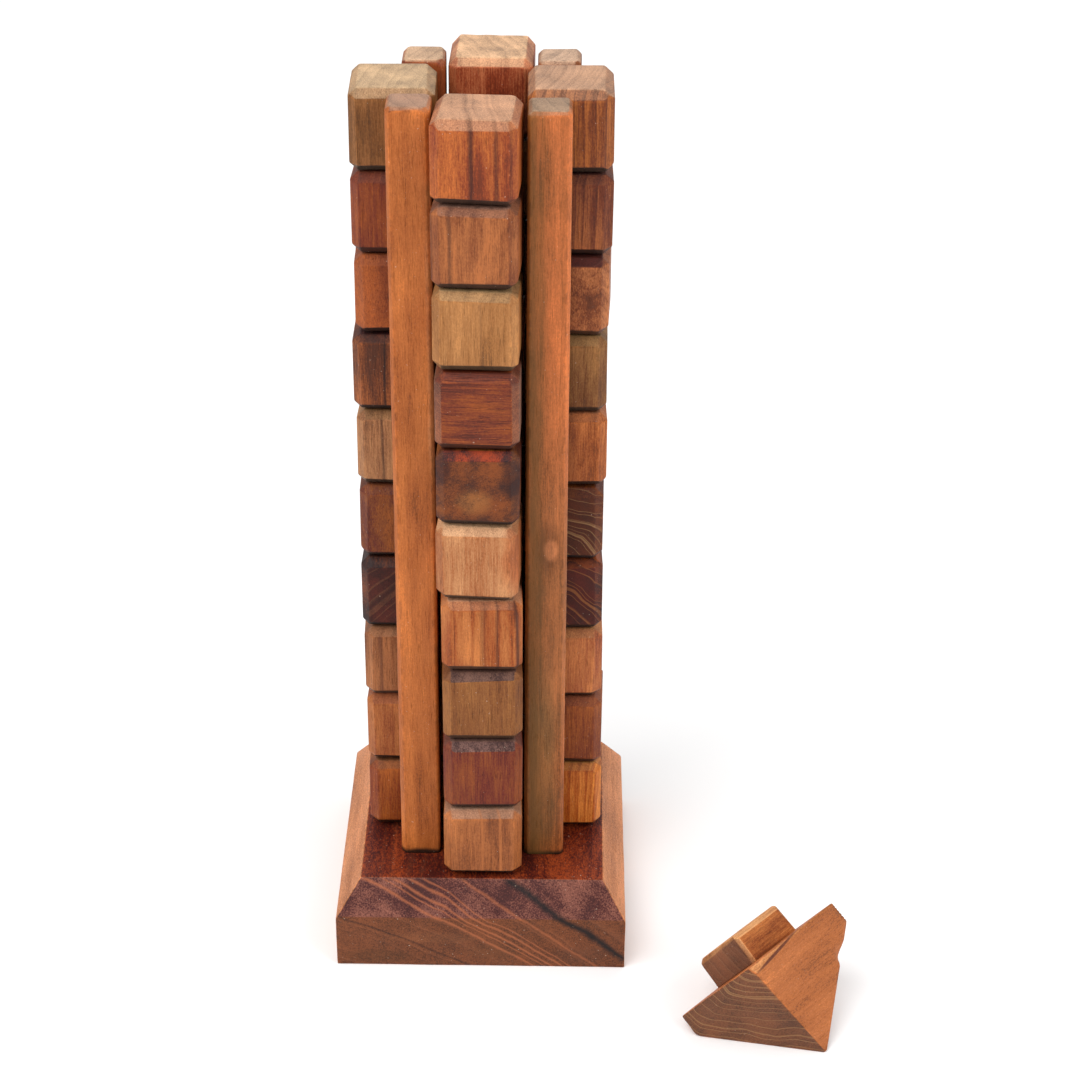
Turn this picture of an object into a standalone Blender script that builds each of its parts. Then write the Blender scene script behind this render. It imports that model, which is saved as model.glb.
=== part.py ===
"""Desktop tumbling tower of hardwood offcuts.

A chamfered plinth carries a hidden square core and four corner posts. Between each pair of posts
stands a column of loose bevelled blocks, which pull straight out. A pyramid cap, whose square
spigot fits the socket above the core, has been lifted off and lies on one of its faces beside
the tower.

Metres, +Z up. The origin is the middle of the plinth's underside, -Y is the front.
"""
import math

import bmesh
import bpy
from mathutils import Matrix, Vector

# ---------------------------------------------------------------- driving dimensions
BLOCK = 0.020                       # a block's edge
GAP = 0.0003                        # air between two pieces that touch
LEVELS = 10                         # blocks in a column

BASE_HALF = 1.86 * BLOCK            # half the plinth's width
BASE_SIDE = 0.755 * BLOCK           # height of the plinth's upright sides
BASE_HEIGHT = 1.195 * BLOCK         # height of the plinth's flat top
BASE_CHAMFER = 0.29 * BLOCK         # how far its sloping sides lean in

BLOCK_HEIGHT = BLOCK + 0.00008
PITCH = BLOCK_HEIGHT + GAP          # from one level to the next
BLOCK_BEVEL = 0.09 * BLOCK
COLUMN_INNER = 0.505 * BLOCK        # from the tower's axis to a block's inner face

POST_INNER = 0.530 * BLOCK          # from the tower's middle planes to a post's near faces
POST_WIDTH = 0.520 * BLOCK
POST_BEVEL = 0.0007
BACK_SHIFT = 0.10 * BLOCK           # the back posts and back column stand this far to the right

CORE_WIDTH = 0.90 * BLOCK
SOCKET_DEPTH = 0.45 * BLOCK         # from the blocks' tops down to the core's top

DOWEL_RADIUS = 0.0025
DOWEL_LENGTH = 0.016                # half in the plinth, half in what stands on it
DOWEL_SIDES = 16

CAP_HALF = 0.843 * BLOCK            # half the pyramid's base
CAP_HEIGHT = 1.427 * BLOCK
CAP_BAND = 0.30 * BLOCK             # upright band left under two of the sloping faces
CAP_SKEW = 0.075 * BLOCK            # how far one upright side runs out of square
CAP_FLARE = 0.18 * BLOCK            # how far one band leans outwards
SPIGOT_WIDTH = 0.92 * BLOCK
SPIGOT_DEPTH = 0.40 * BLOCK
SPIGOT_BEVEL = 0.045 * BLOCK
SPIGOT_OFFSET = Vector((-0.084, -0.087)) * BLOCK
CAP_TIP = Vector((4.339, -3.444, 0.0)) * BLOCK      # where the tip touches the floor
CAP_HEADING = math.radians(-40.6)                   # the way the tip points

FLOOR_OF_COLUMNS = BASE_HEIGHT + GAP
TOP_OF_BLOCKS = FLOOR_OF_COLUMNS + (LEVELS - 1) * PITCH + BLOCK_HEIGHT

# The turn about Z that faces each column outwards. Then, from the lowest block up, how far each
# block stands out and how far it sits along the column's face, in millimetres, and how far it is
# twisted, in degrees.
COLUMNS = {
    "front": {
        "turn": 0,
        "out": (1.2, 0.6, 0.2, 0.2, 0.1, -0.1, -0.1, 0.0, -0.2, -0.3),
        "along": (0.25, 0.25, 0.2, 0.15, -0.25, -0.2, -0.25, -0.35, -0.4, -0.4),
        "twist": (1.5, 2.0, 2.5, 2.0, -3.0, -1.0, -1.5, -3.0, -3.5, -3.5),
    },
    "right": {
        "turn": 90,
        "out": (0.5, 0.6, 0.1, -0.3, -0.2, 0.0, 0.0, 0.3, 0.4, 0.3),
        "along": (0.1, -0.1, 0.2, 0.0, -0.2, 0.1, 0.0, -0.1, 0.2, 0.0),
        "twist": (1.0, -1.5, 0.5, 2.0, -1.0, 1.5, -0.5, -2.0, 1.0, 0.5),
    },
    "back": {
        "turn": 180,
        "out": (0.2, -0.1, 0.3, 0.0, 0.4, 0.1, -0.2, 0.3, 0.0, 0.2),
        "along": (0.0, 0.2, -0.1, 0.1, 0.0, -0.2, 0.2, 0.0, -0.1, 0.1),
        "twist": (-1.0, 1.5, 0.5, -2.0, 1.0, 2.0, -1.5, 0.5, 1.5, -1.0),
    },
    "left": {
        "turn": 270,
        "out": (-0.1, -0.3, 0.2, 0.1, 0.2, 0.0, 0.7, -0.1, -0.2, 0.1),
        "along": (0.0, -0.2, 0.1, 0.2, -0.1, 0.0, 0.1, -0.2, 0.0, 0.1),
        "twist": (1.5, -1.0, 2.0, -0.5, 1.0, -2.0, 0.5, 1.5, -1.5, 1.0),
    },
}

# Each post's side of the tower in X and Y, its height above the plinth, and its sideways shift.
POSTS = {
    "post_front_left": (-1, -1, 10.19 * BLOCK, 0.0),
    "post_front_right": (1, -1, 10.16 * BLOCK, 0.0),
    "post_back_left": (-1, 1, 10.18 * BLOCK, BACK_SHIFT),
    "post_back_right": (1, 1, 10.17 * BLOCK, BACK_SHIFT),
}

# One colour for each level of each column, from the lowest block up.
TAN = (0.50, 0.29, 0.15)
HONEY = (0.58, 0.30, 0.12)
ORANGE = (0.48, 0.20, 0.08)
RED = (0.30, 0.11, 0.06)
BROWN = (0.24, 0.12, 0.06)
DARK = (0.10, 0.045, 0.03)
OLIVE = (0.30, 0.20, 0.09)
BLOCK_COLOURS = {
    "front": (TAN, RED, OLIVE, ORANGE, TAN, DARK, RED, TAN, ORANGE, ORANGE),
    "right": (HONEY, RED, ORANGE, DARK, BROWN, ORANGE, OLIVE, RED, RED, ORANGE),
    "back": (BROWN, ORANGE, RED, TAN, BROWN, RED, ORANGE, BROWN, TAN, RED),
    "left": (BROWN, RED, BROWN, DARK, BROWN, OLIVE, RED, ORANGE, RED, OLIVE),
}


# ---------------------------------------------------------------- helpers
def clear_scene():
    for obj in list(bpy.data.objects):
        bpy.data.objects.remove(obj, do_unlink=True)


def new_collection(name):
    collection = bpy.data.collections.new(name)
    bpy.context.scene.collection.children.link(collection)
    return collection


def wood(name, colour, roughness=0.55):
    """A plain wood finish in one colour."""
    material = bpy.data.materials.new(name)
    material.use_nodes = True
    shader = material.node_tree.nodes["Principled BSDF"]
    shader.inputs["Base Color"].default_value = (*colour, 1.0)
    shader.inputs["Roughness"].default_value = roughness
    shader.inputs["Metallic"].default_value = 0.0
    return material


def add_object(name, bm, collection, material=None):
    mesh = bpy.data.meshes.new(name)
    bm.to_mesh(mesh)
    bm.free()
    obj = bpy.data.objects.new(name, mesh)
    if material:
        mesh.materials.append(material)
    collection.objects.link(obj)
    return obj


def box(size_x, size_y, low_z, high_z):
    """A box about the Z axis from low_z to high_z."""
    bm = bmesh.new()
    bmesh.ops.create_cube(bm, size=1.0)
    bmesh.ops.scale(bm, vec=(size_x, size_y, high_z - low_z), verts=bm.verts)
    bmesh.ops.translate(bm, vec=(0, 0, (low_z + high_z) / 2), verts=bm.verts)
    return bm


def rod(radius, length):
    """An upright round rod about the origin."""
    bm = bmesh.new()
    bmesh.ops.create_cone(bm, cap_ends=True, segments=DOWEL_SIDES, radius1=radius,
                          radius2=radius, depth=length)
    return bm


def bevel_all(obj, width):
    bevel = obj.modifiers.new("bevel", "BEVEL")
    bevel.width = width
    bevel.segments = 1
    bevel.limit_method = "NONE"


def bevel_all_but(bm, end_z, width):
    """Bevel every edge except those round the end at end_z, which stays square against its neighbour."""
    edges = [edge for edge in bm.edges if any(abs(vert.co.z - end_z) > 1e-6 for vert in edge.verts)]
    bmesh.ops.bevel(bm, geom=edges, offset=width, segments=1, profile=0.5, affect="EDGES")


def cut_away(bm, point, outward):
    """Slice off what lies beyond a plane and close the cut."""
    geometry = bm.verts[:] + bm.edges[:] + bm.faces[:]
    cut = bmesh.ops.bisect_plane(bm, geom=geometry, dist=1e-7, plane_co=point,
                                 plane_no=outward, clear_outer=True)
    rim = [item for item in cut["geom_cut"] if isinstance(item, bmesh.types.BMEdge)]
    bmesh.ops.edgeloop_fill(bm, edges=rim)


# ---------------------------------------------------------------- the pieces
def make_base(collection, cutters):
    """Square plinth: upright sides, then four slopes up to a smaller flat top."""
    bm = box(2 * BASE_HALF, 2 * BASE_HALF, 0.0, BASE_SIDE)
    bm.faces.ensure_lookup_table()
    top = [face for face in bm.faces if face.normal.z > 0.5]
    bmesh.ops.inset_region(bm, faces=top, thickness=BASE_CHAMFER, use_even_offset=True)
    bmesh.ops.translate(bm, vec=(0, 0, BASE_HEIGHT - BASE_SIDE), verts=top[0].verts)
    base = add_object("base", bm, collection, wood("base_wood", (0.22, 0.09, 0.05)))
    for cutter in cutters:
        bore = base.modifiers.new("dowel_hole", "BOOLEAN")
        bore.object = cutter
    return base


def make_upright(name, width, height, place, cutter, collection, material, bevel=0.0):
    """A square pole standing on the plinth, bored for the dowel in its foot."""
    bm = box(width, width, 0.0, height - GAP)
    if bevel:
        bevel_all_but(bm, 0.0, bevel)
    pole = add_object(name, bm, collection, material)
    pole.location = (place.x, place.y, FLOOR_OF_COLUMNS)
    bore = pole.modifiers.new("dowel_hole", "BOOLEAN")
    bore.object = cutter
    return pole


def make_dowel(name, place, collection, material):
    dowel = add_object(name, rod(DOWEL_RADIUS, DOWEL_LENGTH), collection, material)
    dowel.location = (place.x, place.y, BASE_HEIGHT + GAP / 2)
    return dowel


def make_dowel_cutter(name, place, collection):
    """The hole for one dowel, in the plinth and in what stands on it."""
    cutter = add_object(name, rod(DOWEL_RADIUS + GAP, DOWEL_LENGTH + 2 * GAP), collection)
    cutter.location = (place.x, place.y, BASE_HEIGHT + GAP / 2)
    cutter.hide_render = True
    cutter.display_type = "WIRE"
    return cutter


def make_column(side, collection):
    """Loose blocks one above the other; each block's origin is its own centre."""
    column = COLUMNS[side]
    facing = Matrix.Rotation(math.radians(column["turn"]), 4, "Z")
    shift = Vector((BACK_SHIFT if side == "back" else 0.0, 0, 0))
    for level in range(LEVELS):
        name = f"block_{side}_{level + 1:02d}"
        material = wood(f"{name}_wood", BLOCK_COLOURS[side][level])
        cube = box(BLOCK, BLOCK, -BLOCK_HEIGHT / 2, BLOCK_HEIGHT / 2)
        block = add_object(name, cube, collection, material)
        along = column["along"][level] / 1000
        out = COLUMN_INNER + BLOCK / 2 + column["out"][level] / 1000
        height = FLOOR_OF_COLUMNS + level * PITCH + BLOCK_HEIGHT / 2
        block.location = facing @ Vector((along, -out, height)) + shift
        block.rotation_euler.z = math.radians(column["turn"] + column["twist"][level])
        bevel_all(block, BLOCK_BEVEL)


def cap_rotation():
    """Turn the cap from standing on its base to lying on its -X face, with its tip leading."""
    slope = math.atan2(CAP_HEIGHT - CAP_BAND, CAP_HALF)
    return Matrix.Rotation(CAP_HEADING, 4, "Z") @ Matrix.Rotation(-slope, 4, "Y") \
        @ Matrix.Rotation(math.pi, 4, "X")


def cut_through(bm, first, second, third):
    """Slice along the plane of three points, keeping the side where the middle of the base is."""
    outward = (second - first).cross(third - first).normalized()
    if outward.dot(first) < 0:
        outward.negate()
    cut_away(bm, first, outward)


def make_cap(collection):
    """Pyramid with its base in its own XY plane and its tip up its own Z.

    It is sawn from an offcut that was never quite square. The -X and -Y faces start above a band
    of the offcut's side, the -Y band leans outwards, and the +Y band tapers away to nothing. The
    +X side runs out of square, which leaves a thin tapering band along half of that edge.
    """
    wide = CAP_HALF + CAP_FLARE
    bm = box(2 * CAP_HALF, 2 * wide, 0.0, CAP_HEIGHT)
    tip = Vector((0, 0, CAP_HEIGHT))
    across, along = Vector((1, 0, 0)), Vector((0, 1, 0))
    cut_away(bm, CAP_HALF * along, along)
    leaning = Vector((0, -wide, CAP_BAND))
    cut_through(bm, -CAP_HALF * along, leaning, leaning + across)
    cut_through(bm, tip, leaning, leaning + across)
    cut_through(bm, tip, Vector((-CAP_HALF, 0, CAP_BAND)), Vector((-CAP_HALF, 1, CAP_BAND)))
    cut_through(bm, tip, Vector((-CAP_HALF, CAP_HALF, CAP_BAND)), Vector((CAP_HALF, CAP_HALF, 0)))
    cut_through(bm, tip, CAP_HALF * across, CAP_HALF * across + along)
    near_corner = Vector((CAP_HALF - CAP_SKEW, CAP_HALF, 0))
    run = Vector((CAP_SKEW, -1.1 * CAP_HALF, 0))
    cut_away(bm, near_corner, run.cross(Vector((0, 0, -1))).normalized())
    cap = add_object("cap_pyramid", bm, collection, wood("cap_wood", (0.42, 0.17, 0.07)))
    pose = cap_rotation()
    cap.matrix_world = Matrix.Translation(CAP_TIP - pose.to_3x3() @ tip) @ pose

    bm = box(SPIGOT_WIDTH, SPIGOT_WIDTH, -SPIGOT_DEPTH - GAP, -GAP)
    bevel_all_but(bm, -GAP, SPIGOT_BEVEL)
    spigot = add_object("cap_spigot", bm, collection, wood("spigot_wood", (0.45, 0.20, 0.09)))
    offset = Vector((SPIGOT_OFFSET.x, SPIGOT_OFFSET.y, 0))
    spigot.matrix_world = cap.matrix_world @ Matrix.Translation(offset)
    return cap


# ---------------------------------------------------------------- assembly
def build():
    clear_scene()
    tower = new_collection("tumbling_tower")
    cutter_collection = new_collection("cutters")

    places = {"core": Vector((0, 0, 0))}
    for name, (side_x, side_y, _, shift) in POSTS.items():
        middle = POST_INNER + POST_WIDTH / 2
        places[name] = Vector((side_x * middle + shift, side_y * middle, 0))
    cutters = {}
    for name, place in places.items():
        cutters[name] = make_dowel_cutter(f"cut_{name}", place, cutter_collection)

    make_base(tower, list(cutters.values()))
    make_upright("core", CORE_WIDTH, TOP_OF_BLOCKS - SOCKET_DEPTH - BASE_HEIGHT, places["core"],
                 cutters["core"], tower, wood("core_wood", (0.33, 0.16, 0.08)))
    for name, (_, _, height, _) in POSTS.items():
        make_upright(name, POST_WIDTH, height, places[name], cutters[name], tower,
                     wood(f"{name}_wood", (0.45, 0.19, 0.07)), POST_BEVEL)
    dowel_wood = wood("dowel_wood", (0.62, 0.46, 0.28), 0.7)
    for name, place in places.items():
        make_dowel(f"dowel_{name}", place, tower, dowel_wood)
    for side in COLUMNS:
        make_column(side, tower)
    make_cap(tower)


build()
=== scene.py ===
"""Looks of the tabletop tumbling tower: hand-cut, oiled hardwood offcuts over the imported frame."""
import math
from dataclasses import dataclass
from itertools import count

import bpy
import numpy as np
from mathutils import Matrix, Vector, noise


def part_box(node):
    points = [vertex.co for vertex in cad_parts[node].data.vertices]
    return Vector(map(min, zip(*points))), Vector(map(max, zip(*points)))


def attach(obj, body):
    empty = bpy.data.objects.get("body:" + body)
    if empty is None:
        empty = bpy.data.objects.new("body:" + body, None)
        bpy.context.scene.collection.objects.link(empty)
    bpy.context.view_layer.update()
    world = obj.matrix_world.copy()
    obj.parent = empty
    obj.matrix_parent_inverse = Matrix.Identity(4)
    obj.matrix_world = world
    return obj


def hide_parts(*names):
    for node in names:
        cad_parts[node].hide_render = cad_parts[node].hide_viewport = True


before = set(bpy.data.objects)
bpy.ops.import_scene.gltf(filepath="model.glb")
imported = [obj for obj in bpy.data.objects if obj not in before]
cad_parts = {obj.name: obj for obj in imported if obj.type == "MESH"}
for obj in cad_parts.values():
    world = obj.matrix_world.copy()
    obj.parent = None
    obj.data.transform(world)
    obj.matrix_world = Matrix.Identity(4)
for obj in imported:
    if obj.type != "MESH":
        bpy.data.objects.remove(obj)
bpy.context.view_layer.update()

MM = 0.001
UP = np.array([0.0, 0.0, 1.0])

# ---------------------------------------------------------------- the woods


@dataclass
class Look:
    """One piece of timber. Lengths are in millimetres, colours are sRGB."""
    light: str                      # the pale early wood
    dark: str                       # the late wood between
    end: str = ""                   # end grain; a greyer mix of the two unless given
    line: str = ""                  # the thin ring lines on end grain
    turn: tuple = (0, 0, 0)         # degrees from the piece's axes to the wood's, whose Z is the fibre
    pith: tuple = (55, -25)         # where the tree's heart lies across the fibre
    ring: float = 2.6               # width of one year's growth
    rings: float = 0.15             # how strongly the rings show
    lines: float = 0.18             # how strongly their outlines show on end grain
    faces: tuple = ()               # faces of other colours: (the way one looks, light, dark)
    fibre: float = 0.9              # how strongly the fine streaks show
    mottle: float = 0.35            # how blotchy it is
    blotch: float = 6.0             # the size of those blotches
    stain: str = "#3a1a14"          # colour of the bands below
    vein: str = ""                  # colour of the pale bands, if not the light colour
    bands: tuple = ()               # growth bands: (distance from middle, width, strength; pale below 0)
    end_bands: float = 0.3          # how much of them shows on end grain
    side_bands: float = 1.0         # and along the grain
    spots: tuple = ()               # tinted areas: (middle, half sizes, tint, strength, tilt in degrees)
    clouds: float = 0.0             # how strong the stain's clouds are
    underside_shade: float = 0.93             # how strongly the undersides are darkened, as painted shade
    speckle: float = 0.9            # how strongly the finest speckle shows
    dust: float = 0.35              # how plain the specks of dust are
    wander: float = 1.0             # how far the rings stray from circles


# The blocks of each column, from the lowest up. The top front bevels among some front blocks' faces are
# darker partly for their oiled end grain and partly as painted shade from the block above.
BLOCKS = {
    "front": [
        Look("#b26f44", "#8d5435", end="#a98672", pith=(60, 10), ring=3.2,
             bands=((-1.5, 0.35, -0.6), (3.0, 0.3, -0.5))),
        Look("#8c4d2e", "#713521", end="#7d6058", pith=(70, 25), ring=1.7, fibre=1.1,
             faces=(((0, -0.7, 0.7), "#84635c", "#4e3836"),)),
        Look("#9c683d", "#815030", end="#6a4f48", pith=(60, -30), ring=2.2,
             faces=(((0, -0.7, 0.7), "#74564c", "#44302e"),)),
        Look("#bd7645", "#a1552b", end="#c08f72", pith=(50, 5), ring=3.4, rings=0.5,
             bands=((-6.3, 0.5, 0.75), (-2.2, 0.4, 0.45), (1.5, 0.8, 0.35))),
        Look("#c68e63", "#ab6a43", end="#e0b48e", pith=(60, 20), ring=3.0,
             spots=(((10.5, -9, 1), (5, 12, 12), "#b0643c", 0.8, 0),)),
        Look("#895634", "#623624", end="#77462d", line="#8c5c40", turn=(90, 0, 0), pith=(30, 40), ring=2.4,
             lines=0.0, mottle=1.0, blotch=4.5, stain="#3a2226", clouds=0.55,
             spots=(((8.5, -3, -9), (3.2, 7, 9), "#40281f", 0.7, 0),
                    ((-8.5, -6, -9), (3, 4, 9), "#4a2c22", 0.6, 0),
                    ((-1, 3, -9), (5, 4, 9), "#9a6a42", 0.5, 0)),
             faces=(((0, -0.7, 0.7), "#9a442a", "#401e20"),)),
        Look("#99532d", "#753b26", end="#8a6656", line="#a5826a", turn=(0, 90, 4), pith=(-45, 20), ring=2.3,
             rings=0.3, fibre=1.3, mottle=0.5),
        Look("#b78151", "#9e6b40", end="#a88a66", pith=(50, -30), ring=2.8, rings=0.25,
             bands=((-5.5, 0.25, 0.25),)),
        Look("#a76740", "#81482b", end="#86665a", pith=(45, -40), ring=2.6, rings=0.1, mottle=0.7,
             bands=((-1.0, 0.4, 0.5), (3.4, 0.3, 0.35))),
        Look("#b86839", "#8e4525", end="#c6997b", line="#b5846a", pith=(55, 12), ring=4.0, speckle=1.1,
             bands=((3.0, 0.55, 0.75), (-2.2, 0.5, 0.55), (-5.0, 0.35, 0.3))),
    ],
    "right": [
        Look("#d98844", "#b35e24", end="#b07a4a", pith=(12, 50), ring=2.0, rings=0.5, stain="#4a2412",
             bands=((-1.5, 0.3, 0.7), (2.6, 0.25, 0.5))),
        Look("#a35f35", "#7b4025", end="#84503c", pith=(20, 60), ring=2.4),
        Look("#c67e4e", "#a25a3c", end="#b58058", pith=(8, 60), ring=3.2, bands=((1.6, 0.9, 0.5),)),
        Look("#864823", "#442012", end="#533024", line="#9a6440", turn=(4, 90, 0), pith=(-16, 8), ring=2.2,
             rings=0.6, lines=0.7, mottle=0.9, wander=1.6),
        Look("#844e2e", "#582e1a", end="#573623", line="#b08a62", turn=(4, 90, 0), pith=(-13, 4), ring=1.8,
             lines=0.6, mottle=0.5, wander=1.6),
        Look("#ca7b46", "#99542d", end="#9a6448", pith=(-10, 50), ring=3.0, mottle=0.6, stain="#6a3c28",
             bands=((0.0, 1.6, 0.3),)),
        Look("#9b6f45", "#784d2e", end="#8f7250", pith=(14, 50), ring=2.6, stain="#3a2418",
             bands=((2.2, 0.3, 0.7),)),
        Look("#bd794e", "#874e34", end="#5a3430", turn=(0, 20, 30), pith=(30, 20), ring=1.6,
             mottle=0.8, wander=3.0),
        Look("#9e5f3b", "#723d25", end="#5d3c36", pith=(14, 60), ring=2.8, rings=0.5,
             bands=((-2.6, 1.2, 0.35),)),
        Look("#ac6839", "#7b4427", end="#bf987d", line="#a57c66", pith=(16, 60), ring=2.2, rings=0.6,
             bands=((1.0, 0.3, 0.5), (-2.5, 0.25, 0.4))),
    ],
    "back": [
        Look("#8d5a3c", "#6b3f2a", pith=(60, 10)),
        Look("#b0683f", "#8a4a2c", pith=(50, -20), rings=0.5),
        Look("#8a4b34", "#6a3024", pith=(60, 20), ring=1.8),
        Look("#bd8458", "#9c643e", pith=(45, 30), rings=0.25),
        Look("#7d5238", "#5b3526", turn=(0, 90, 3), pith=(-40, 25), ring=2.2, rings=0.6),
        Look("#91523a", "#6e3626", pith=(60, -15), bands=((1.0, 0.4, 0.5),)),
        Look("#ad643c", "#84452a", pith=(50, 15), rings=0.5, bands=((-3.0, 0.5, 0.5),)),
        Look("#74492f", "#4c2c20", end="#6a4632", line="#b0845e", turn=(90, 0, 0), pith=(30, 30),
             mottle=0.8),
        Look("#b57b50", "#94593a", pith=(55, -25)),
        Look("#ca7b55", "#9a4c35", end="#d9b28f", line="#c49a78", pith=(50, 20), ring=3.0, mottle=0.8),
    ],
    "left": [
        Look("#ab6233", "#884320", end="#8a5c40", pith=(12, 55), ring=2.6),
        Look("#b77344", "#975433", end="#8e5440", pith=(14, 60), ring=2.2, rings=0.2),
        Look("#a26b47", "#7f4d32", end="#9c7054", pith=(30, 40), ring=3.0, stain="#54342a",
             bands=((0.0, 0.5, 0.6),)),
        Look("#71422e", "#3e251c", end="#55322a", line="#8a6048", turn=(0, 60, 0), pith=(-30, 25), ring=3.2,
             lines=0.4, mottle=0.9, blotch=5.0, clouds=0.5),
        Look("#8e542f", "#68351f", end="#7a4a36", turn=(0, 15, 0), pith=(10, 60), mottle=0.6, blotch=4.0),
        Look("#bc885e", "#926446", end="#92704e", pith=(12, 60), ring=2.2, stain="#3c2a20",
             bands=((-0.5, 0.25, 0.6), (2.0, 0.3, 0.6), (-3.2, 0.2, 0.4))),
        Look("#a9653d", "#6c4028", end="#4c2c2a", pith=(14, 60), mottle=0.8, stain="#2a1614",
             bands=((0.6, 0.3, 0.8),), spots=(((9, 4, -3), (12, 3.5, 8), "#a0603e", 0.7, 0),)),
        Look("#a65c34", "#864625", end="#98583c", turn=(0, 20, 0), pith=(-20, 50), ring=1.8, mottle=0.6,
             wander=2.0),
        Look("#97522e", "#783a20", end="#7c4838", pith=(14, 60), ring=2.6, rings=0.25),
        Look("#9f6d44", "#7e5431", end="#c7aa89", line="#a89068", pith=(14, 60), ring=3.4, rings=0.3,
             mottle=0.5),
    ],
}

# The painted shadow line where a post stands on the plinth, as one of its spots.
POST_FOOT_SHADOW = ((0, 0, -102.2), (20, 20, 1.9), "#140c0a", 0.95, 0)
POSTS = {
    "post_front_left": Look("#c97842", "#ab6134", end="#ab8873", line="#8d7468", pith=(40, 20), ring=4.0,
                            rings=0.18, fibre=0.7, mottle=0.14,
                            spots=(POST_FOOT_SHADOW, ((5.0, -5, 38), (1.6, 9, 60), "#d59a72", 0.35, 0))),
    "post_front_right": Look("#cb7646", "#a4623a", end="#9e8570", line="#6f6964", pith=(30, 12), ring=3.5,
                             rings=0.3, fibre=0.8, mottle=0.5, blotch=12.0, stain="#6a5030",
                             bands=((4.7, 2.2, 0.7),),
                             spots=(POST_FOOT_SHADOW,
                                    ((2.5, -5, -38), (6, 9, 46), "#6a5c40", 0.34, 0),
                                    ((-1, -5, -78), (5, 9, 36), "#75603c", 0.5, 0),
                                    ((0.4, -5, -10), (4.0, 9, 8), "#744a30", 0.6, 0),
                                    ((1.1, -5, -10.5), (2.1, 9, 3.2), "#bf7a50", 0.9, 0))),
    "post_back_left": Look("#a55c38", "#84432b", end="#c9a98d", line="#a8876c", pith=(40, -20),
                           ring=3.0),
    "post_back_right": Look("#a0633e", "#7d4a30", end="#cbab93", line="#857468", pith=(-40, 20),
                            ring=3.0),
}
BASE = Look("#d28e63", "#b3734b", end="#764a36", line="#a0684e", turn=(90, 0, 0), pith=(-100, 175),
            ring=4.2, rings=0.2, lines=0.25, mottle=0.3, blotch=9.0, fibre=0.5, speckle=2.2,
            stain="#1b191f", vein="#a86648", side_bands=0.12, end_bands=1.0, underside_shade=0.0, dust=0.6,
            faces=(((0, 0, 1), "#96482a", "#592210"), ((0, -0.7, 0.7), "#8c5c50", "#583534")),
            spots=(((-27, 9, -37), (12, 2.5, 9), "#5a4030", 0.45, 0),
                   ((4, 7, -37), (9, 3.5, 9), "#5f4434", 0.35, 0),
                   ((26, 8, -37), (9, 3, 9), "#604236", 0.4, 0),
                   ((-12, 3, -37), (14, 2, 9), "#8a5a40", 0.35, 0)),
            bands=((13.6, 1.0, 0.95), (-2.6, 0.32, -0.6), (-0.9, 0.18, -0.5), (0.2, 0.3, -0.6),
                   (1.9, 0.3, -0.6), (3.2, 0.2, -0.5), (7.5, 0.35, -0.45), (-12.0, 0.3, 0.5)))
CAP = Look("#c57948", "#b2693b", end="#724d3b", line="#b98d62", turn=(90, 0, 0), pith=(50, 34), ring=2.4,
           rings=0.1, lines=0.55, mottle=0.5, fibre=0.55, speckle=1.7, wander=2.2, underside_shade=0.0,
           # painted highlight: the sliver facet is paler, as the light it faces more squarely makes it look
           faces=(((0.997, 0.081, 0), "#cf8f5e", "#b5713f"),),
           # painted shadow: a thin dark line along the crease where the two sawn faces meet
           spots=(((16.2, 6.8, 6.9), (3, 0.45, 9.5), "#5a2a18", 0.85, 7.8),))
SPIGOT = Look("#e8ae78", "#c98a58", end="#7d5440", line="#a87f60", turn=(90, 0, 0), pith=(40, 10), ring=3.0,
              rings=0.3, underside_shade=0.0, faces=(((1, 0, 0), "#c67c46", "#94522c"),))
CORE = Look("#9a5a3a", "#7a4029", end="#96604a", pith=(50, 30))
DOWEL = Look("#d9b98c", "#b8935f", pith=(30, 10), ring=1.2)

LIFT = (0.82, 0.78, 0.73)           # albedo against the colour seen under these lights
HAZE = 0.020                        # what the surface itself reflects of them
PALE_FIBRE = (1.5, 1.45, 1.4, 1.0)  # these three multiply the wood's own colour
TORN = (1.7, 1.6, 1.5, 1.0)
GRUBBY = (0.35, 0.32, 0.32, 1.0)
SAWDUST = (0.62, 0.48, 0.36, 1.0)
ROUGHNESS = 0.42
RELIEF = 0.10 * MM                  # the height of the grain


def linear(colour):
    """A "#rrggbb" colour as linear RGB."""
    values = [int(colour[i:i + 2], 16) / 255 for i in (1, 3, 5)]
    return [v / 12.92 if v < 0.04045 else ((v + 0.055) / 1.055) ** 2.4 for v in values]


def albedo(colour, gain=1.0):
    """The base colour that looks like the given one, times gain, under the scene's lights."""
    bare = [max(v - HAZE, 0.3 * v) for v in linear(colour)]
    return (*(min(0.9, v * lift * gain) for v, lift in zip(bare, LIFT)), 1.0)


def blend(first, second, share):
    """A colour the given share of the way from first to second, in sRGB."""
    pairs = [(int(first[i:i + 2], 16), int(second[i:i + 2], 16)) for i in (1, 3, 5)]
    return "#" + "".join(f"{round(a + (b - a) * share):02x}" for a, b in pairs)


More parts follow.
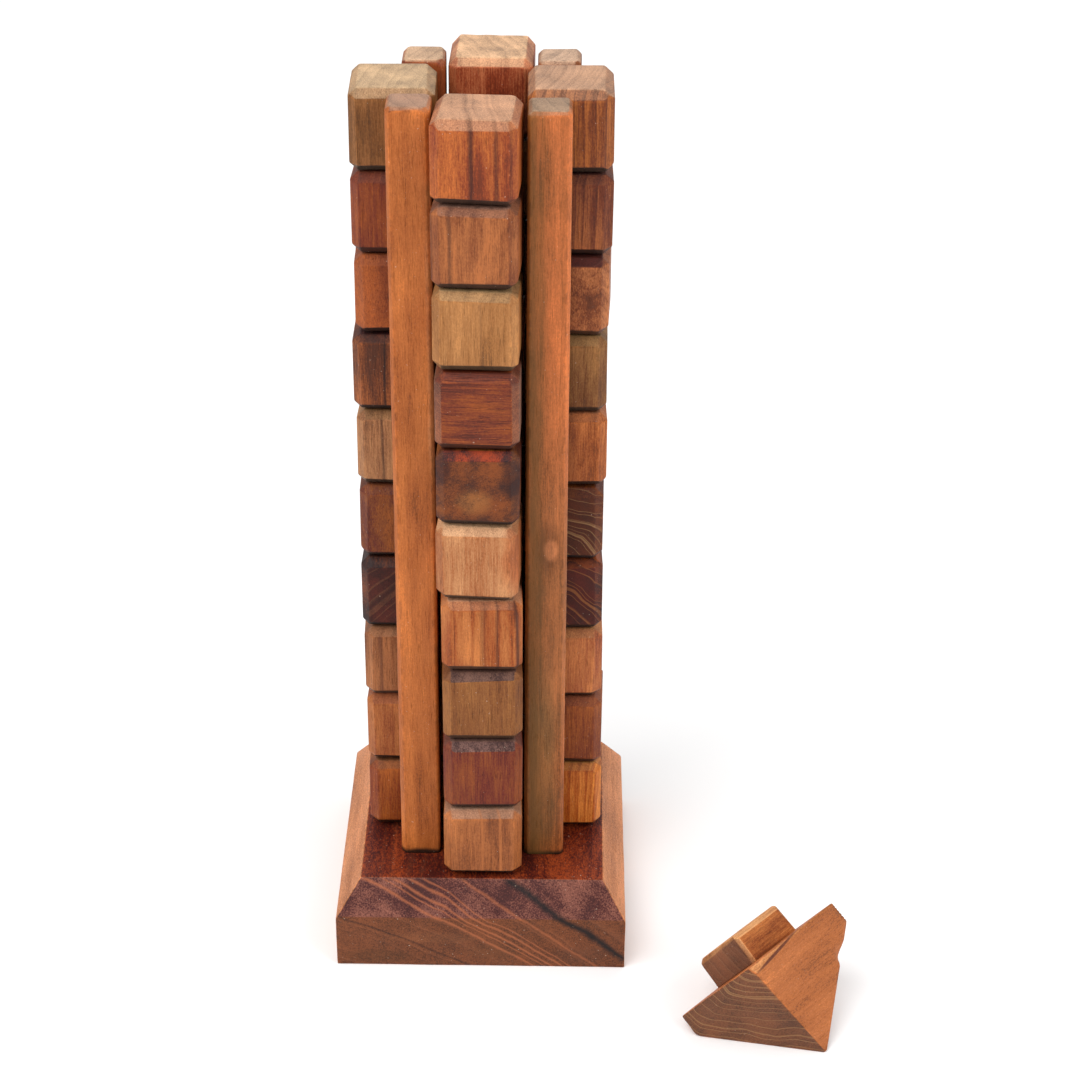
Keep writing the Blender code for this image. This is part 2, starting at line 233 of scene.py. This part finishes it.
class Shader:
    """Short names for the shader nodes that a wood is made of."""

    def __init__(self, name):
        self.material = bpy.data.materials.new(name)
        self.material.use_nodes = True
        self.tree = self.material.node_tree
        self.surface = self.tree.nodes["Principled BSDF"]

    def set(self, socket, value):
        if isinstance(value, bpy.types.NodeSocket):
            self.tree.links.new(value, socket)
        else:
            socket.default_value = value

    def node(self, kind, inputs=(), **settings):
        node = self.tree.nodes.new("ShaderNode" + kind)
        for key, value in settings.items():
            setattr(node, key, value)
        for index, value in enumerate(inputs):
            if value is not None:
                self.set(node.inputs[index], value)
        return node

    def math(self, operation, *values):
        return self.node("Math", values, operation=operation).outputs[0]

    def vector(self, operation, *values):
        node = self.node("VectorMath", values, operation=operation)
        return node.outputs["Value" if operation in ("LENGTH", "DOT_PRODUCT") else "Vector"]

    def stretch(self, place, across, along):
        return self.vector("MULTIPLY", place, (across, across, along))

    def noise(self, place, detail=2.0, rough=0.5, colour=False):
        node = self.node("TexNoise")
        self.set(node.inputs["Vector"], place)
        node.inputs["Scale"].default_value = 1.0
        node.inputs["Detail"].default_value = detail
        node.inputs["Roughness"].default_value = rough
        return node.outputs["Color" if colour else "Fac"]

    def step(self, value, low, high, to_low=0.0, to_high=1.0):
        """Value smoothly remapped from low..high to to_low..to_high."""
        inputs = (value, low, high, to_low, to_high)
        return self.node("MapRange", inputs, interpolation_type="SMOOTHSTEP").outputs[0]

    def ramp(self, value, stops):
        node = self.node("ValToRGB", (value,))
        elements = node.color_ramp.elements
        while len(elements) < len(stops):
            elements.new(0.5)
        for element, (position, colour) in zip(elements, stops):
            element.position = position
            element.color = colour
        return node.outputs["Color"]

    def swing(self, start, *terms):
        """Start plus each noise's swing about its middle times its weight."""
        total = start - sum(0.5 * weight for _, weight in terms)
        for value, weight in terms:
            total = self.math("MULTIPLY_ADD", value, weight, total)
        return total

    def wood_ramp(self, tone, light, dark):
        return self.ramp(tone, ((0.0, albedo(dark, 0.6)), (0.25, albedo(dark)), (0.75, albedo(light)),
                                (1.0, albedo(light, 1.3))))

    def mix(self, factor, first, second, mode="MIX"):
        node = self.node("Mix", data_type="RGBA", blend_type=mode)
        self.set(node.inputs[0], factor)
        self.set(node.inputs[6], first)
        self.set(node.inputs[7], second)
        return node.outputs[2]


def grey(value):
    return (value, value, value, 1.0)


def wood_space(s, look, seed, axes):
    """Where a point is in the wood, in millimetres, and the way its surface faces.

    Returns the place, the place as the noises see it, the normal along the piece's own axes and the
    normal along the wood's. The noises see each piece at a place of its own.
    """
    own = tuple(Matrix(axes.tolist()).to_euler())
    turn = tuple(math.radians(a) for a in look.turn)
    coordinates = s.node("TexCoord")
    place = s.node("Mapping", (coordinates.outputs["Object"], None, own, (1 / MM,) * 3)).outputs[0]
    place = s.node("Mapping", (place, None, turn)).outputs[0]
    normal = s.node("Mapping", (coordinates.outputs["Normal"], None, own), vector_type="VECTOR").outputs[0]
    facing = s.node("Mapping", (normal, None, turn), vector_type="VECTOR").outputs[0]
    shifted = s.vector("ADD", place, (seed * 37.7 % 90, seed * 53.3 % 70, seed * 71.9 % 110))
    return place, shifted, normal, facing


def growth_rings(s, look, seed, place, sway):
    """The distance from the pith, how late in its year's growth the wood is, and the years' edges."""
    across = s.vector("MULTIPLY", s.vector("SUBTRACT", s.vector("ADD", place, sway), (*look.pith, 0.0)),
                      (1.0, 1.0, 0.0))
    radius = s.vector("LENGTH", across)
    uneven = s.node("TexNoise", noise_dimensions="1D")
    s.set(uneven.inputs["W"], s.math("MULTIPLY_ADD", radius, 0.9 / look.ring, seed * 3.1))
    uneven.inputs["Scale"].default_value = 1.0
    drift = s.math("MULTIPLY", uneven.outputs["Fac"], 1.6)
    phase = s.math("FRACT", s.math("MULTIPLY_ADD", radius, 1.0 / look.ring, drift))
    late = s.ramp(phase, ((0.0, grey(0.15)), (0.35, grey(0.25)), (0.8, grey(0.8)), (0.93, grey(1.0)),
                          (1.0, grey(0.15))))
    boundary = s.ramp(phase, ((0.0, grey(0.8)), (0.10, grey(0.0)), (0.86, grey(0.0)), (0.95, grey(1.0)),
                              (1.0, grey(0.8))))
    return radius, late, boundary


def add_spots(s, look, colour, place, tone, blotch):
    for middle, size, tint, strength, tilt in look.spots:
        turned = (math.radians(tilt), 0, 0)
        inside = s.node("Mapping", (place, middle, turned, size), vector_type="TEXTURE").outputs[0]
        away = s.math("ADD", s.swing(0.0, (blotch, 0.9)), s.vector("LENGTH", inside))
        tinted = s.mix(s.step(tone, 0.2, 0.8), albedo(tint, 0.75), albedo(tint, 1.25))
        colour = s.mix(s.step(away, 0.45, 1.15, strength, 0.0), colour, tinted)
    return colour


def add_bands(s, look, colour, radius, coarse, end_share):
    heart = math.hypot(*look.pith)
    for offset, width, strength in look.bands:
        away = s.math("ABSOLUTE", s.math("SUBTRACT", radius, heart + offset))
        ragged = s.math("MULTIPLY_ADD", coarse, 1.6 * width, s.math("SUBTRACT", away, 0.8 * width))
        share = s.step(ragged, 0.0, 1.7 * width, abs(strength), 0.0)
        shown = s.math("MULTIPLY_ADD", end_share, look.end_bands - look.side_bands, look.side_bands)
        band = albedo(look.stain, 1.1) if strength > 0 else albedo(look.vein or look.light, 1.3)
        colour = s.mix(s.math("MULTIPLY", share, shown), colour, band)
    return colour


def add_wear(s, look, colour, shifted, normal):
    """Rubbed arrises, paler where the grain is torn open and dirtier in patches; painted shade on the
    undersides, and dust.
    """
    wear = s.node("Attribute", attribute_name="wear").outputs["Fac"]
    patch = s.noise(s.vector("SCALE", shifted, None, None, 0.55), detail=2.0)
    rubbed = s.math("MULTIPLY", wear, s.step(patch, 0.45, 0.65, 0.0, 0.3))
    grubby = s.math("MULTIPLY", wear, s.step(patch, 0.36, 0.52, 0.4, 0.0))
    colour = s.mix(rubbed, colour, s.mix(1.0, colour, TORN, "MULTIPLY"))
    colour = s.mix(grubby, colour, s.mix(1.0, colour, GRUBBY, "MULTIPLY"))
    # painted shade: faces turned downwards are darkened almost to black, standing for the shade under and
    # between the blocks
    if look.underside_shade:
        upright = s.node("SeparateXYZ", (normal,)).outputs["Z"]
        colour = s.mix(s.step(upright, -0.75, -0.35, look.underside_shade, 0.0), colour, albedo(look.dark, 0.04))
    if look.dust:
        specks = s.noise(s.vector("SCALE", shifted, None, None, 1.9), detail=1.0)
        colour = s.mix(s.step(specks, 0.755, 0.80, 0.0, look.dust), colour, SAWDUST)
    return colour


def add_relief(s, height):
    bump = s.node("Bump")
    bump.inputs["Strength"].default_value = 0.55
    bump.inputs["Distance"].default_value = RELIEF
    s.set(bump.inputs["Height"], height)
    s.set(s.surface.inputs["Normal"], bump.outputs[0])


def wood_material(name, look, seed, axes=np.eye(3)):
    """Solid wood: growth rings round a pith, stretched fibres and pores, darker or paler end grain.

    The rows of axes are the piece's own axes; everything in the look is along those.
    """
    s = Shader(name)
    place, shifted, normal, facing = wood_space(s, look, seed, axes)
    sway = s.noise(s.stretch(shifted, 0.07, 0.018), detail=2.5, colour=True)
    sway = s.vector("SCALE", s.vector("SUBTRACT", sway, (0.5, 0.5, 0.5)), None, None, 3.5 * look.wander)
    radius, late, boundary = growth_rings(s, look, seed, place, sway)

    # fibres, pores, speckle and blotches
    broad = s.noise(s.stretch(shifted, 0.13, 0.035), detail=3.0)
    coarse = s.noise(s.stretch(shifted, 0.55, 0.03), detail=4.0, rough=0.7)
    fine = s.noise(s.stretch(shifted, 3.4, 0.16), detail=2.0, rough=0.6)
    speckle = s.noise(s.stretch(shifted, 3.0, 1.6), detail=2.0, rough=0.7)
    pores = s.step(s.noise(s.stretch(shifted, 5.0, 0.30), detail=1.0), 0.60, 0.74)
    blotch = s.noise(s.stretch(shifted, 1.0 / look.blotch, 0.45 / look.blotch), detail=4.0, rough=0.6)
    way = s.vector("ADD", s.vector("SCALE", facing, None, None, 1.7), (seed * 7.3, seed, 1.0))
    cut_tone = s.noise(way, detail=0.0)

    tone = s.swing(0.5, (broad, 1.8), (coarse, 0.7 * look.fibre), (fine, 1.1 * look.fibre),
                   (speckle, look.speckle), (blotch, 1.6 * look.mottle), (cut_tone, 0.45))
    tone = s.math("SUBTRACT", tone, s.math("MULTIPLY_ADD", late, look.rings, -0.4 * look.rings))
    side_colour = s.wood_ramp(tone, look.light, look.dark)

    # end grain, with its thin ring lines and open pores
    end = look.end or blend(blend(look.light, look.dark, 0.5), "#6b6462", 0.25)
    line = look.line or blend(end, "#e0b890", 0.25)
    end_tone = s.swing(0.5, (fine, 0.7), (speckle, 1.4 * look.speckle), (broad, 0.9),
                       (blotch, 0.5 + 1.4 * look.mottle), (late, -0.25))
    end_colour = s.ramp(end_tone, ((0.0, albedo(end, 0.5)), (0.5, albedo(end)), (1.0, albedo(end, 1.5))))
    end_colour = s.mix(s.math("MULTIPLY", boundary, look.lines), end_colour, albedo(line))
    end_share = s.step(s.math("ABSOLUTE", s.node("SeparateXYZ", (facing,)).outputs["Z"]), 0.5, 0.9)
    colour = s.mix(end_share, side_colour, end_colour)

    # what belongs to this piece alone
    for way, *tones in look.faces:
        near = s.step(s.vector("DOT_PRODUCT", normal, way), 0.90, 0.96)
        colour = s.mix(near, colour, s.wood_ramp(tone, *tones))
    colour = add_spots(s, look, colour, place, tone, blotch)
    if look.clouds:
        cloud = s.math("MULTIPLY_ADD", speckle, 0.35, s.math("MULTIPLY_ADD", broad, 0.5, blotch))
        colour = s.mix(s.step(cloud, 0.70, 1.05, look.clouds, 0.0), colour, albedo(look.stain))

    strayed = s.vector("ADD", place, sway)
    pale = s.step(s.noise(s.stretch(strayed, 4.0, 0.22), detail=1.0), 0.64, 0.78, 0.0, 0.35)
    colour = s.mix(pale, colour, s.mix(1.0, colour, PALE_FIBRE, "MULTIPLY"))
    pore_depth = s.math("MULTIPLY", pores, 0.5 * look.fibre)
    colour = s.mix(pore_depth, colour, albedo(look.dark, 0.32))
    colour = add_bands(s, look, colour, radius, coarse, end_share)
    s.set(s.surface.inputs["Base Color"], add_wear(s, look, colour, shifted, normal))

    rough = s.math("MULTIPLY_ADD", blotch, 0.3, ROUGHNESS)
    rough = s.math("ADD", rough, s.math("MULTIPLY_ADD", pores, 0.2, s.math("MULTIPLY", end_share, 0.12)))
    s.set(s.surface.inputs["Roughness"], rough)
    s.surface.inputs["Specular IOR Level"].default_value = 0.3

    height = s.math("MULTIPLY_ADD", fine, 0.5, s.math("MULTIPLY", coarse, 0.4))
    height = s.math("ADD", height, s.math("MULTIPLY_ADD", pores, -0.9, s.math("MULTIPLY", late, 0.35)))
    scratch = s.noise(s.vector("MULTIPLY", s.vector("ADD", shifted, sway), (0.35, 0.35, 5.0)), detail=2.0)
    add_relief(s, s.math("ADD", height, s.math("MULTIPLY", scratch, 0.25)))
    return s.material


# ---------------------------------------------------------------- worn solids
GLUE_REACH = 0.4 * MM               # how far a glued end reaches over the CAD's gap


def corners(node):
    return np.array([v.co[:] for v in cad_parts[node].data.vertices])


def facets(node):
    """The outer facets of a CAD node: unit normals, middles, in-plane axes and half sizes along them.

    A plane with part of the node beyond it, such as the side of a bore, is left out.
    """
    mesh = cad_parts[node].data
    points = corners(node)
    found = []
    for face in mesh.polygons:
        normal = np.array(face.normal[:])
        heights = points @ normal - normal @ np.array(face.center[:])
        known = any(normal @ other[0] > 0.99995 for other in found)
        if face.area > 1e-9 and not known and heights.max() < 1e-5:
            rim = points[heights > -1e-5]
            side = np.cross(normal, (0.0, 0.0, 1.0) if abs(normal[2]) < 0.9 else (0.0, 1.0, 0.0))
            side /= np.linalg.norm(side)
            basis = np.array([side, np.cross(normal, side), normal])
            low, high = (rim @ basis.T).min(0), (rim @ basis.T).max(0)
            found.append((normal, basis.T @ ((low + high) / 2), basis[:2], (high - low)[:2] / 2))
    return found


def lines(low, high, edges, cells):
    """Grid lines from low to high: at the given distances from each end, and even between those."""
    inner_low, inner_high = low + edges[-1], high - edges[-1]
    middle = np.linspace(inner_low, inner_high, cells + 1)[1:-1]
    near = [low + e for e in edges]
    far = [high - e for e in reversed(edges)]
    return np.array([low, *near, *middle, *far, high])


def surface_grid(xs, ys, zs):
    """Points and outward quads of a box surface whose lines run at xs, ys and zs."""
    grid = np.stack(np.meshgrid(xs, ys, zs, indexing="ij"), -1)
    inside = np.zeros(grid.shape[:3], bool)
    inside[1:-1, 1:-1, 1:-1] = True
    index = np.full(inside.shape, -1)
    index[~inside] = np.arange((~inside).sum())
    quads = []
    for sheet, flip in ((index[0], True), (index[-1], False), (index[:, 0], False), (index[:, -1], True),
                        (index[:, :, 0], True), (index[:, :, -1], False)):
        around = (sheet[:-1, :-1], sheet[1:, :-1], sheet[1:, 1:], sheet[:-1, 1:])
        quad = np.stack([corner.ravel() for corner in around], 1)
        quads.append(quad[:, ::-1] if flip else quad)
    return grid[~inside], np.concatenate(quads)


def smooth(value, low, high):
    t = np.clip((value - low) / (high - low), 0.0, 1.0)
    return t * t * (3 - 2 * t)


def field(points, scale, seed):
    """Smooth noise in -1..1 at each point."""
    offset = Vector((seed * 1.7, seed * 2.3, seed * 3.1))
    return np.array([noise.noise(Vector(p) * scale + offset) for p in points])


def worn_facets(node, axes, centre, rng, lean, rubbed, joined):
    """Each facet's normal along the piece's own axes, and its distance from the centre, when worn."""
    normals, offsets = [], []
    for normal, middle, basis, size in facets(node):
        kind = min((np.abs(axes @ normal) > 0.25).sum(), 3) - 1         # flat, bevel or corner
        slips = rng.uniform(-1, 1, 2) * np.minimum(lean[kind] * MM, 0.08 * size)
        leaning = normal + (slips / size) @ basis
        leaning /= np.linalg.norm(leaning)
        rub = np.abs(slips).sum() + rng.uniform(0.2, 1.0) * rubbed[kind] * MM
        if joined and axes @ normal @ np.array(joined) > 0.99:
            leaning, rub = normal, -GLUE_REACH
        normals.append(axes @ leaning)
        offsets.append(leaning @ (middle - centre) - rub)
    return normals, offsets


def worn_solid(node, body, axes, centre, grid, core, look, seed, sharpness=70,
               lean=(0.05, 0.15, 0.1), rubbed=(0.05, 0.2, 0.5), wobble=0.06, chips=0.2, shape=None,
               blunt=None, notch=None, joined=None):
    """A CAD solid as wood cut and sanded by hand, standing for its node.

    Its flat, bevelled and corner facets lean and are rubbed down by the given millimetres, never
    outwards; only the end that is glued on, whose normal is joined, reaches its neighbour across
    the CAD's gap. Its arrises are rounded where facets meet, and its surface undulates and is chipped
    along the arrises. Each grid point is moved along the ray from the nearest point of a core box.
    """
    rng = np.random.default_rng(seed)
    normals, offsets = worn_facets(node, axes, centre, rng, lean, rubbed, joined)
    if blunt:
        normals.append(UP)
        offsets.append(blunt)
    normals, offsets = np.array(normals), np.array(offsets)

    points, quads = surface_grid(*grid)
    if shape:
        points = shape(points)
    hearts = np.clip(points, *np.array(core))
    rays = points - hearts
    shares = np.maximum(rays @ normals.T, 0) / (offsets - hearts @ normals.T)
    reach = (shares ** sharpness).sum(1) ** (1 / sharpness)
    order = np.argsort(shares, 1)
    rows = np.arange(len(shares))
    first, second = order[:, -1], order[:, -2]
    bend = 1 - (normals[first] * normals[second]).sum(1)
    edge = smooth(shares[rows, second] / shares[rows, first], 0.92, 1.0) * smooth(bend, 0.05, 0.45)
    rays /= reach[:, None]
    points = hearts + rays
    length = np.linalg.norm(rays, axis=1)
    sunk = wobble * MM * (0.5 + 0.5 * field(points, 110, seed))
    torn = smooth(field(points, 420, seed + 5), 0.2, 0.65) * smooth(field(points, 90, seed + 9), 0.0, 0.5)
    sunk += chips * MM * edge * torn
    if notch:
        place, radius, depth = notch
        sunk += depth * smooth(radius - np.linalg.norm(points - np.array(place), axis=1), 0.0, radius)
    points = (hearts + rays * (1 - sunk / length)[:, None]) @ axes

    name = "wood_" + node
    mesh = bpy.data.meshes.new(name)
    mesh.from_pydata(points.tolist(), [], quads.tolist())
    mesh.shade_smooth()
    wear = mesh.attributes.new("wear", "FLOAT", "POINT")
    wear.data.foreach_set("value", np.clip(edge + torn * edge, 0, 1))
    mesh.materials.append(wood_material(name + "_wood", look, seed, axes))
    piece = bpy.data.objects.new(name, mesh)
    bpy.context.scene.collection.objects.link(piece)
    piece.location = centre
    bpy.context.view_layer.update()
    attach(piece, body)
    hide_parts(node)


def both_ways(core):
    return (tuple(-c for c in core), core)


def millimetres(*values):
    return [value * MM for value in values]


def cad_box_of(node):
    """The middle and half sizes of a node's CAD box."""
    low, high = (np.array(corner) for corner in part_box(node))
    return (low + high) / 2, (high - low) / 2


# ---------------------------------------------------------------- blocks
OUTWARD = {"front": (0, -1, 0), "right": (1, 0, 0), "back": (0, 1, 0), "left": (-1, 0, 0)}
BLOCK_SEED, POST_SEED, BASE_SEED, CAP_SEED, SPIGOT_SEED, INSIDE_SEED = 10, 60, 70, 80, 81, 90
BLOCK_EDGES = millimetres(0.45, 0.95, 1.3, 1.5, 1.7, 1.9, 2.1, 2.35, 2.9)


def facet_towards(node, direction):
    return max((facet[0] for facet in facets(node)), key=lambda normal: normal @ np.array(direction))


def make_block(side, level, look, seed):
    """Its own -Y faces out of the column, whatever its twist."""
    node = f"block_{side}_{level:02d}"
    back = -facet_towards(node, OUTWARD[side])
    axes = np.array([np.cross(back, UP), back, UP])
    centre, (_, _, half) = cad_box_of(node)
    across = lines(-half, half, BLOCK_EDGES, 8)
    core = (0.55 * half,) * 3
    worn_solid(node, node, axes, centre, (across, across, across), both_ways(core), look,
               seed)


block_seeds = count(BLOCK_SEED)
for side, looks in BLOCKS.items():
    for level, look in enumerate(looks, 1):
        make_block(side, level, look, next(block_seeds))


# ---------------------------------------------------------------- posts
def make_post(node, look, seed):
    centre, half = cad_box_of(node)
    edges = millimetres(0.25, 0.5, 0.7, 0.9, 1.2, 1.7)
    across = lines(-half[0], half[0], edges, 4)
    along = lines(-half[2], half[2], edges + millimetres(2.6, 4), 60)
    core = (0.0, 0.0, half[2] - 0.6 * half[0])
    worn_solid(node, "tower", np.eye(3), centre, (across, across, along),
               both_ways(core), look, seed, lean=(0.08, 0.15, 0.1), rubbed=(0.05, 0.25, 0.8),
               wobble=0.14, joined=(0, 0, -1))


for post_seed, (node, look) in enumerate(POSTS.items(), POST_SEED):
    make_post(node, look, post_seed)


# ---------------------------------------------------------------- base
def make_base(look, seed):
    """A plinth whose grid follows its upright sides to the shoulder, and then its slopes."""
    centre, half = cad_box_of("base")
    points = corners("base") - centre
    top_half = points[points[:, 2] > half[2] - 0.1 * MM][:, 0].max()
    outer = points[points[:, 0] > half[0] - 0.1 * MM]
    shoulder = outer[outer[:, 2] > 5 * MM - half[2]][:, 2].min()

    def taper(grid):
        rise = np.clip((grid[:, 2] - shoulder) / (half[2] - shoulder), 0, 1)
        grid[:, :2] *= (1 - rise * (1 - top_half / half[0]))[:, None]
        return grid

    edges = millimetres(0.2, 0.45, 0.8, 1.4, 2.4)
    across = lines(-half[0], half[0], edges, 26)
    side = lines(-half[2], shoulder, edges, 5)
    slope = lines(shoulder, half[2], edges[:4], 4)
    core = (0.62 * half[0], 0.62 * half[1], 0.1 * half[2])
    worn_solid("base", "tower", np.eye(3), centre,
               (across, across, np.append(side, slope[1:])), both_ways(core), look, seed, sharpness=110,
               rubbed=(0.05, 0.1, 0.1), wobble=0.12, chips=0.25, shape=taper)


make_base(BASE, BASE_SEED)


# ---------------------------------------------------------------- cap
def cap_axes():
    """The cap's own axes: Z from its base to its tip, X away from the face it lies on."""
    foot = facet_towards("cap_pyramid", cad_box_of("cap_spigot")[0] - cad_box_of("cap_pyramid")[0])
    upright = [facet[0] for facet in facets("cap_pyramid") if abs(facet[0] @ foot) < 0.01]
    lowest = min(upright, key=lambda normal: normal[2])
    return np.array([-lowest, np.cross(-foot, -lowest), -foot])


def local_box(node, axes):
    own = corners(node) @ axes.T
    return own.min(0), own.max(0)


def make_cap(axes, look, seed):
    """The centre is on the line down from the tip, low enough to see every facet."""
    low, high = local_box("cap_pyramid", axes)
    points = corners("cap_pyramid")
    tip = points[np.argmax(points @ axes[2])]
    height = high[2] - low[2]
    foot, peak = -0.28 * height, 0.72 * height
    half = (high[0] - low[0]) / 2
    straight, narrowing = 0.04, 0.985       # shares of the height left as it is, and of the width lost

    def taper(grid):
        rise = (grid[:, 2] - foot) / height
        grid[:, :2] *= (1 - narrowing * np.clip(rise - straight, 0, 1) / (1 - straight))[:, None]
        return grid

    edges = millimetres(0.2, 0.45, 0.8, 1.4)
    across = lines(-half, half, edges, 36)
    up = lines(foot, peak, edges, 60)
    core = ((-0.3 * MM, -0.3 * MM, -0.06 * height), (0.3 * MM, 0.3 * MM, 0.60 * height))
    dent = np.array((half * 0.593, -half * 0.911, foot + height * 0.407))
    worn_solid("cap_pyramid", "cap", axes, tip - axes[2] * height * 0.72,
               (across, across, up), core, look, seed, sharpness=60, lean=(0, 0, 0),
               rubbed=(0.03, 0.03, 0.03), chips=0.08, shape=taper, blunt=peak - 0.5 * MM,
               notch=(dent, 3.6 * MM, 1.3 * MM))


def make_spigot(axes, look, seed):
    low, high = local_box("cap_spigot", axes)
    centre = axes.T @ ((low + high) / 2)
    half = (high - low) / 2
    edges = millimetres(0.3, 0.7, 0.95, 1.2, 1.45, 1.8)
    grid = [lines(-h, h, edges, cells) for h, cells in zip(half, (10, 10, 4))]
    core = (0.5 * half[0], 0.5 * half[1], 0.2 * half[2])
    worn_solid("cap_spigot", "cap", axes, centre, grid, both_ways(core), look, seed,
               sharpness=60, rubbed=(0.05, 0.3, 0.6), joined=(0, 0, 1))


make_cap(cap_axes(), CAP, CAP_SEED)
make_spigot(cap_axes(), SPIGOT, SPIGOT_SEED)

# ---------------------------------------------------------------- pieces kept as the CAD has them
for name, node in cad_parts.items():
    if name == "core" or name.startswith("dowel"):
        look = CORE if name == "core" else DOWEL
        node.data.materials.clear()
        node.data.materials.append(wood_material(name + "_wood", look, INSIDE_SEED))


# ---------------------------------------------------------------- floor, lights, camera
FLOOR = 6.0                         # half its width
WHITE_PAPER = (0.93, 0.93, 0.93, 1.0)
EYE = (0.01877, -0.56488, 0.43286)
PAN, DOWN, ROLL = 0.469, 30.056, 0.456      # degrees
LENS, SENSOR = 86.85, 36.0          # millimetres


def make_floor():
    mesh = bpy.data.meshes.new("floor")
    rim = [(-FLOOR, -FLOOR, 0), (FLOOR, -FLOOR, 0), (FLOOR, FLOOR, 0), (-FLOOR, FLOOR, 0)]
    mesh.from_pydata(rim, [], [(0, 1, 2, 3)])
    floor = bpy.data.objects.new("floor", mesh)
    bpy.context.scene.collection.objects.link(floor)
    s = Shader("floor_paper")
    s.surface.inputs["Base Color"].default_value = WHITE_PAPER
    s.surface.inputs["Roughness"].default_value = 0.9
    s.surface.inputs["Specular IOR Level"].default_value = 0.0
    mesh.materials.append(s.material)


def make_light(name, place, aim, size, power):
    light = bpy.data.lights.new(name, "AREA")
    light.shape = "DISK"
    light.size = size
    light.energy = power
    lamp = bpy.data.objects.new(name, light)
    lamp.location = place
    lamp.rotation_euler = (Vector(aim) - Vector(place)).to_track_quat("-Z", "Y").to_euler()
    bpy.context.scene.collection.objects.link(lamp)


def make_camera():
    camera = bpy.data.cameras.new("camera")
    camera.sensor_width = SENSOR
    camera.lens = LENS
    eye = bpy.data.objects.new("camera", camera)
    turn = Matrix.Rotation(math.radians(PAN), 4, "Z")
    turn @= Matrix.Rotation(math.radians(90 - DOWN), 4, "X")
    turn @= Matrix.Rotation(math.radians(ROLL), 4, "Z")
    eye.matrix_world = Matrix.Translation(EYE) @ turn
    bpy.context.scene.collection.objects.link(eye)
    bpy.context.scene.camera = eye


make_floor()
make_light("key", (-0.45, -0.70, 1.30), (0.02, 0, 0.1), 1.0, 11.0)
make_light("fill", (0.85, -0.55, 0.8), (0.02, 0, 0.1), 0.9, 6.0)
make_light("left_fill", (-0.95, -0.35, 0.55), (0, 0, 0.1), 0.7, 3.0)
make_light("back", (0.1, 1.1, 0.85), (0.02, 0, 0.15), 1.2, 3.5)
make_camera()
world = bpy.data.worlds.new("studio")
world.use_nodes = True
world.node_tree.nodes["Background"].inputs["Color"].default_value = (1.0, 1.0, 1.0, 1.0)
world.node_tree.nodes["Background"].inputs["Strength"].default_value = 0.65
bpy.context.scene.world = world
bpy.context.scene.view_settings.view_transform = "Standard"
bpy.context.scene.view_settings.look = "None"
